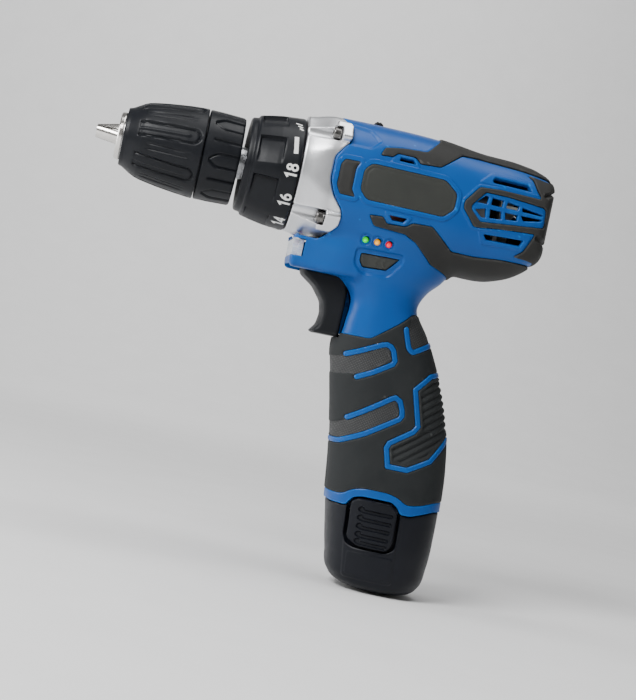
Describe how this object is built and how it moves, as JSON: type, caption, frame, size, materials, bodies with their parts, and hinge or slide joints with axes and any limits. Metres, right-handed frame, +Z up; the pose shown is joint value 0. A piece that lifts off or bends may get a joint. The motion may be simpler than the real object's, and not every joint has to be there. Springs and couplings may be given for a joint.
{
  "type": "cordless drill",
  "caption": "Pistol-grip cordless drill driver with keyless chuck, torque collar, two-speed planetary gearbox and slide-in battery.",
  "frame": {"origin": "under the middle of the drill, on the plane of the battery's flat base, in the parting plane of the shells", "axes": "+Z up; -X along the spindle towards the bit; the housing's left side, which the picture shows, faces -Y"},
  "size_m": [0.2, 0.0574, 0.2002],
  "materials": {
    "shell_blue": "moulded blue plastic, satin",
    "grey_rubber": "soft matt rubber, warm dark grey",
    "grip_rubber": "soft matt rubber, fine texture",
    "label_grey": "smooth matt plastic, warm grey",
    "cast_aluminium": "satin die-cast",
    "dark_steel": "blackened steel",
    "lens": "frosted clear plastic",
    "board_green": "lacquered circuit board",
    "led_green": "lit green lens",
    "led_amber": "lit amber lens",
    "led_red": "lit red lens",
    "steel": "turned steel",
    "dark_plastic": "black moulded plastic",
    "gear_steel": "sintered steel, oiled",
    "bright_steel": "polished steel",
    "zinc_steel": "zinc-plated pressed steel",
    "ferrite": "sintered ferrite",
    "sleeve_black": "moulded black plastic, satin",
    "laminations": "stacked laminations",
    "copper": "enamelled copper",
    "fan_white": "natural nylon",
    "trigger_grey": "satin plastic",
    "battery_black": "moulded plastic, fine texture",
    "cell_wrap": "shrink-wrapped cells"
  },
  "bodies": {
    "housing": {"shell_left": "shell_blue", "shell_right": "shell_blue", "band_left": "grey_rubber", "band_right": "grey_rubber", "grip_left": "grip_rubber", "grip_right": "grip_rubber", "rear_bumper": "grey_rubber", "label_plates": "label_grey", "side_pads": "grey_rubber", "gearbox_head": "cast_aluminium", "head_screws": "dark_steel", "body_screws": "dark_steel", "work_light_lens": "lens", "status_board": "board_green", "status_led_green": "led_green", "status_led_amber": "led_amber", "status_led_red": "led_red", "spindle_bearings": "steel", "gear_casing": "dark_plastic", "ring_gear_front": "gear_steel", "clutch_spring": "steel", "clutch_washer": "steel", "clutch_balls": "bright_steel", "motor_can": "zinc_steel", "motor_magnets": "ferrite", "motor_end_bell": "dark_plastic", "switch_body": "dark_plastic", "terminal_block": "dark_plastic", "trigger_spring": "steel"},
    "chuck": {"spindle": "steel", "chuck_body": "steel", "nose_ring": "bright_steel", "rear_sleeve": "sleeve_black"},
    "chuck_sleeve": {"front_sleeve": "sleeve_black", "chuck_nut": "gear_steel"},
    "jaw_a": {"jaw_1": "bright_steel"},
    "jaw_b": {"jaw_2": "bright_steel"},
    "jaw_c": {"jaw_3": "bright_steel"},
    "torque_collar": {"torque_collar": "sleeve_black"},
    "speed_selector": {"speed_switch": "dark_plastic", "shift_yoke": "steel", "ring_gear_rear": "gear_steel"},
    "input_carrier": {"carrier_sun": "gear_steel"},
    "planet_a_1": {"planet_a1": "gear_steel"},
    "planet_a_2": {"planet_a2": "gear_steel"},
    "planet_a_3": {"planet_a3": "gear_steel"},
    "planet_b_1": {"planet_b1": "gear_steel"},
    "planet_b_2": {"planet_b2": "gear_steel"},
    "planet_b_3": {"planet_b3": "gear_steel"},
    "rotor": {"motor_shaft": "steel", "pinion": "gear_steel", "rotor_core": "laminations", "commutator": "copper", "fan": "fan_white"},
    "trigger": {"trigger": "trigger_grey"},
    "direction_button": {"direction_button": "label_grey"},
    "battery": {"battery_case": "battery_black", "battery_cells": "cell_wrap"},
    "latch_near": {"latch_left": "battery_black"},
    "latch_far": {"latch_right": "battery_black"}
  },
  "joints": [
    {"name": "chuck_spin", "type": "hinge", "parent": "housing", "child": "chuck", "pos_m": [0, 0, 0.1695], "axis": [1, 0, 0], "continuous": true},
    {"name": "chuck_sleeve_turn", "type": "hinge", "parent": "chuck", "child": "chuck_sleeve", "pos_m": [-0.07, 0, 0.1695], "axis": [1, 0, 0], "range_deg": [0, 2340]},
    {"name": "jaw_a_slide", "type": "slide", "parent": "chuck", "child": "jaw_a", "axis": [0.9744, 0, 0.225], "range_m": [0, 0.0216]},
    {"name": "jaw_b_slide", "type": "slide", "parent": "chuck", "child": "jaw_b", "axis": [0.9744, -0.1948, -0.1125], "range_m": [0, 0.0216]},
    {"name": "jaw_c_slide", "type": "slide", "parent": "chuck", "child": "jaw_c", "axis": [0.9744, 0.1948, -0.1125], "range_m": [0, 0.0216]},
    {"name": "collar_turn", "type": "hinge", "parent": "housing", "child": "torque_collar", "pos_m": [-0.025, 0, 0.1695], "axis": [1, 0, 0], "range_deg": [-285, 0]},
    {"name": "speed_shift", "type": "slide", "parent": "housing", "child": "speed_selector", "axis": [1, 0, 0], "range_m": [0, 0.004]},
    {"name": "input_carrier_spin", "type": "hinge", "parent": "housing", "child": "input_carrier", "pos_m": [0, 0, 0.1695], "axis": [1, 0, 0], "continuous": true},
    {"name": "rotor_spin", "type": "hinge", "parent": "housing", "child": "rotor", "pos_m": [0.04, 0, 0.1695], "axis": [1, 0, 0], "continuous": true},
    {"name": "planet_a_1_spin", "type": "hinge", "parent": "input_carrier", "child": "planet_a_1", "pos_m": [0.011, 0.009, 0.1695], "axis": [1, 0, 0], "continuous": true},
    {"name": "planet_a_2_spin", "type": "hinge", "parent": "input_carrier", "child": "planet_a_2", "pos_m": [0.011, -0.0045, 0.17729], "axis": [1, 0, 0], "continuous": true},
    {"name": "planet_a_3_spin", "type": "hinge", "parent": "input_carrier", "child": "planet_a_3", "pos_m": [0.011, -0.0045, 0.16171], "axis": [1, 0, 0], "continuous": true},
    {"name": "planet_b_1_spin", "type": "hinge", "parent": "chuck", "child": "planet_b_1", "pos_m": [-0.001, 0.009, 0.1695], "axis": [1, 0, 0], "continuous": true},
    {"name": "planet_b_2_spin", "type": "hinge", "parent": "chuck", "child": "planet_b_2", "pos_m": [-0.001, -0.0045, 0.17729], "axis": [1, 0, 0], "continuous": true},
    {"name": "planet_b_3_spin", "type": "hinge", "parent": "chuck", "child": "planet_b_3", "pos_m": [-0.001, -0.0045, 0.16171], "axis": [1, 0, 0], "continuous": true},
    {"name": "trigger_pull", "type": "slide", "parent": "housing", "child": "trigger", "axis": [1, 0, 0], "range_m": [0, 0.006], "stiffness_N_per_m": 300, "springref_m": -0.004, "deforming": ["trigger_spring"]},
    {"name": "direction_shift", "type": "slide", "parent": "housing", "child": "direction_button", "axis": [0, 1, 0], "range_m": [-0.0025, 0.0025]},
    {"name": "battery_slide", "type": "slide", "parent": "housing", "child": "battery", "axis": [0.1219, 0, -0.9925], "range_m": [0, 0.07]},
    {"name": "latch_near_press", "type": "hinge", "parent": "battery", "child": "latch_near", "pos_m": [0.051, -0.0206, 0.0202], "axis": [1, 0, 0], "range_deg": [-3.6, 0], "stiffness_Nm_per_rad": 0.6, "springref_deg": 1.72},
    {"name": "latch_far_press", "type": "hinge", "parent": "battery", "child": "latch_far", "pos_m": [0.051, 0.0206, 0.0202], "axis": [1, 0, 0], "range_deg": [0, 3.6], "stiffness_Nm_per_rad": 0.6, "springref_deg": -1.72}
  ],
  "couplings": [
    {"joint": "jaw_a_slide", "follows": "chuck_sleeve_turn", "m_per_rad": 0.00052644},
    {"joint": "jaw_b_slide", "follows": "chuck_sleeve_turn", "m_per_rad": 0.00052644},
    {"joint": "jaw_c_slide", "follows": "chuck_sleeve_turn", "m_per_rad": 0.00052644},
    {"joint": "input_carrier_spin", "follows": "chuck_spin", "ratio": 5},
    {"joint": "rotor_spin", "follows": "chuck_spin", "ratio": 25},
    {"joint": "planet_b_1_spin", "follows": "chuck_spin", "ratio": -2.6667},
    {"joint": "planet_b_2_spin", "follows": "chuck_spin", "ratio": -2.6667},
    {"joint": "planet_b_3_spin", "follows": "chuck_spin", "ratio": -2.6667},
    {"joint": "planet_a_1_spin", "follows": "chuck_spin", "ratio": -13.333},
    {"joint": "planet_a_2_spin", "follows": "chuck_spin", "ratio": -13.333},
    {"joint": "planet_a_3_spin", "follows": "chuck_spin", "ratio": -13.333}
  ]
}
